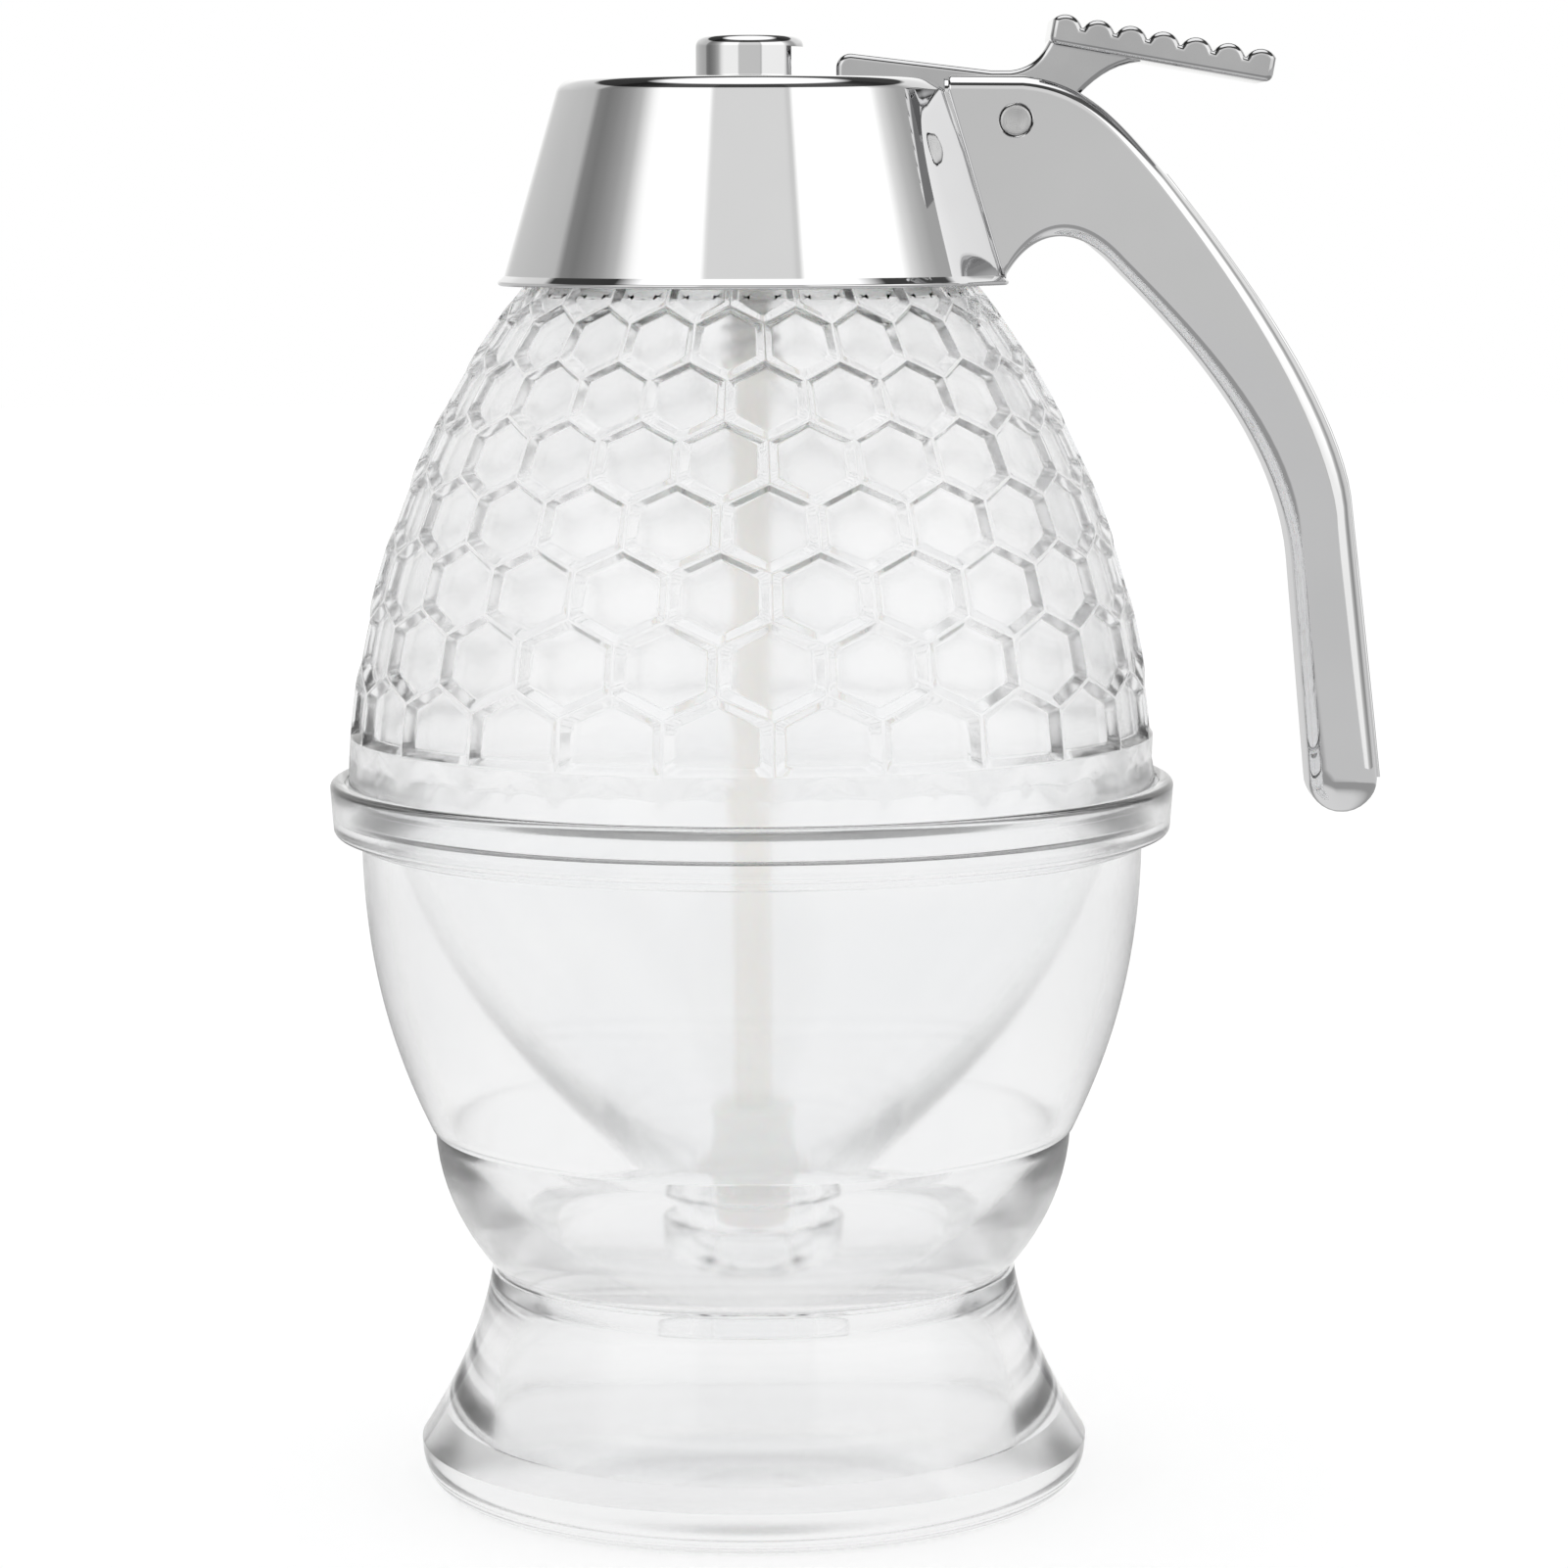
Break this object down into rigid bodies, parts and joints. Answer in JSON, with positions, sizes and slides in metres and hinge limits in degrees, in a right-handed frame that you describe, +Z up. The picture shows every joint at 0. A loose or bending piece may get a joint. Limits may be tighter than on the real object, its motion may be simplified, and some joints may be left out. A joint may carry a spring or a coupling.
{
  "type": "honey dispenser",
  "caption": "Clear honeycomb jar hanging in a clear stand, with a chrome cap, a curved handle and a thumb lever that lifts a sprung plunger off the outlet.",
  "frame": {"origin": "on the jar's axis at the foot's ground face", "axes": "+Z up along the jar's axis; +X from the axis towards the handle and the lever's thumb pad"},
  "size_m": [0.1212, 0.0974, 0.1695],
  "materials": {
    "clear_plastic": "clear moulded acrylic",
    "chrome": "polished plating",
    "white_plastic": "satin moulded",
    "silicone": "smooth food-grade silicone",
    "pin_steel": "turned stainless steel",
    "spring_steel": "drawn stainless wire"
  },
  "bodies": {
    "stand": {"stand_cup": "clear_plastic", "stand_foot": "clear_plastic", "stand_base": "clear_plastic"},
    "jar": {"jar_dome": "clear_plastic", "jar_funnel": "clear_plastic", "outlet_nozzle": "clear_plastic"},
    "cap": {"cap_shell": "chrome", "cap_liner": "white_plastic", "cap_gasket": "silicone", "handle": "chrome", "handle_back_strip": "chrome", "pivot_pin": "pin_steel", "return_spring": "spring_steel"},
    "lever": {"thumb_lever": "chrome"},
    "plunger": {"plunger_rod": "white_plastic", "rod_head": "pin_steel", "stopper": "silicone"}
  },
  "joints": [
    {"name": "jar_lift", "type": "slide", "parent": "stand", "child": "jar", "axis": [0, 0, 1], "range_m": [0, 0.07]},
    {"name": "cap_lift", "type": "slide", "parent": "jar", "child": "cap", "axis": [0, 0, 1], "range_m": [0, 0.13]},
    {"name": "lever_pivot", "type": "hinge", "parent": "cap", "child": "lever", "pos_m": [0.0301, 0, 0.1577], "axis": [0, 1, 0], "range_deg": [0, 6.87], "stiffness_Nm_per_rad": 1.05, "springref_deg": -1.52},
    {"name": "plunger_lift", "type": "slide", "parent": "cap", "child": "plunger", "axis": [0, 0, 1], "range_m": [0, 0.00362], "deforming": ["return_spring"]}
  ],
  "couplings": [
    {"joint": "plunger_lift", "follows": "lever_pivot", "m_per_rad": 0.0301}
  ]
}
